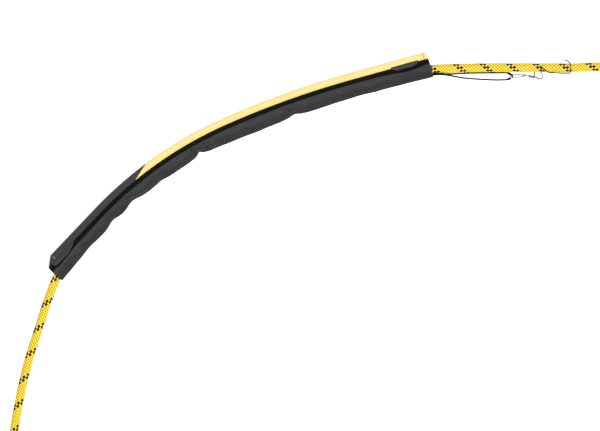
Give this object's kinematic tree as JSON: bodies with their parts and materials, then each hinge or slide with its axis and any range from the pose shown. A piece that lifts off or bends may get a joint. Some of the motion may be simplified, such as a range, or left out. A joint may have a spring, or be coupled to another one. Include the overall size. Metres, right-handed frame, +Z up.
{
  "type": "rope protector sleeve",
  "caption": "Fabric rope protector sleeve with a hook-and-loop flap, worn on a kernmantle rope with sewn thimble eyes and held by a cord tether and a bent-wire rope clip.",
  "frame": {"origin": "centre of the sleeve and clip together, in plan, on the surface that the assembly lies on", "axes": "+X from the sleeve's lower end towards the clip, +Y towards the outside of the sleeve's curve at its upper end, +Z up from the surface"},
  "size_m": [0.8706, 0.5882, 0.02],
  "materials": {
    "coated_fabric": "PVC-coated woven fabric, matt with a soft sheen",
    "loop_tape": "napped loop tape",
    "hook_tape": "moulded nylon hooks",
    "yellow_facing": "coated woven strip",
    "black_facing": "coated woven strip",
    "webbing": "narrow woven webbing",
    "grip_tab": "fine woven tape",
    "dark_thread": "polyester thread",
    "pale_thread": "polyester thread",
    "rope_sheath": "braided polyamide with dark tracers",
    "rope_core": "twisted polyamide strands",
    "thimble": "moulded nylon",
    "splice_cover": "heat-shrunk tube",
    "tether_cord": "braided accessory cord",
    "spring_wire": "drawn spring wire"
  },
  "bodies": {
    "rope": {"rope_core": "rope_core", "rope_sheath_upper": "rope_sheath", "rope_sheath_middle": "rope_sheath", "rope_sheath_lower": "rope_sheath", "rope_eye_upper": "rope_sheath", "rope_eye_lower": "rope_sheath", "thimble_upper": "thimble", "thimble_lower": "thimble", "eye_cover_upper": "splice_cover", "eye_cover_lower": "splice_cover", "tether_strand_outer": "tether_cord", "tether_strand_inner": "tether_cord"},
    "sleeve": {"sleeve_shell": "coated_fabric", "loop_tape": "loop_tape", "loop_margin": "loop_tape", "hook_tape_middle": "hook_tape", "flap_middle": "coated_fabric", "yellow_band_middle": "yellow_facing", "black_band_middle": "black_facing", "tether_anchor": "webbing"},
    "upper_flap": {"flap_end_upper": "coated_fabric", "hook_tape_upper": "hook_tape", "yellow_band_upper": "yellow_facing", "grip_tab_upper": "grip_tab", "bartack_upper": "dark_thread"},
    "lower_flap": {"flap_end_lower": "coated_fabric", "hook_tape_lower": "hook_tape", "black_band_lower": "black_facing", "grip_tab_lower": "grip_tab", "bartack_lower": "pale_thread"},
    "clip": {"wire_clip": "spring_wire", "tether_hitch": "tether_cord"}
  },
  "joints": [
    {"name": "sleeve_slide", "type": "hinge", "parent": "rope", "child": "sleeve", "pos_m": [0.1738, -0.3564, 0.009], "axis": [0, 0, -1], "range_deg": [0, 1.2]},
    {"name": "upper_flap_open", "type": "hinge", "parent": "sleeve", "child": "upper_flap", "pos_m": [0.04708, 0.11514, 0.01075], "axis": [-0.9636, -0.2672, 0], "range_deg": [0, 160]},
    {"name": "lower_flap_open", "type": "hinge", "parent": "sleeve", "child": "lower_flap", "pos_m": [-0.325, -0.112, 0.01075], "axis": [-0.6884, -0.7254, 0], "range_deg": [0, 160]},
    {"name": "clip_turn", "type": "hinge", "parent": "rope", "child": "clip", "pos_m": [0.286, 0.123, 0.0075], "axis": [-1, 0, 0], "range_deg": [0, 45]}
  ]
}
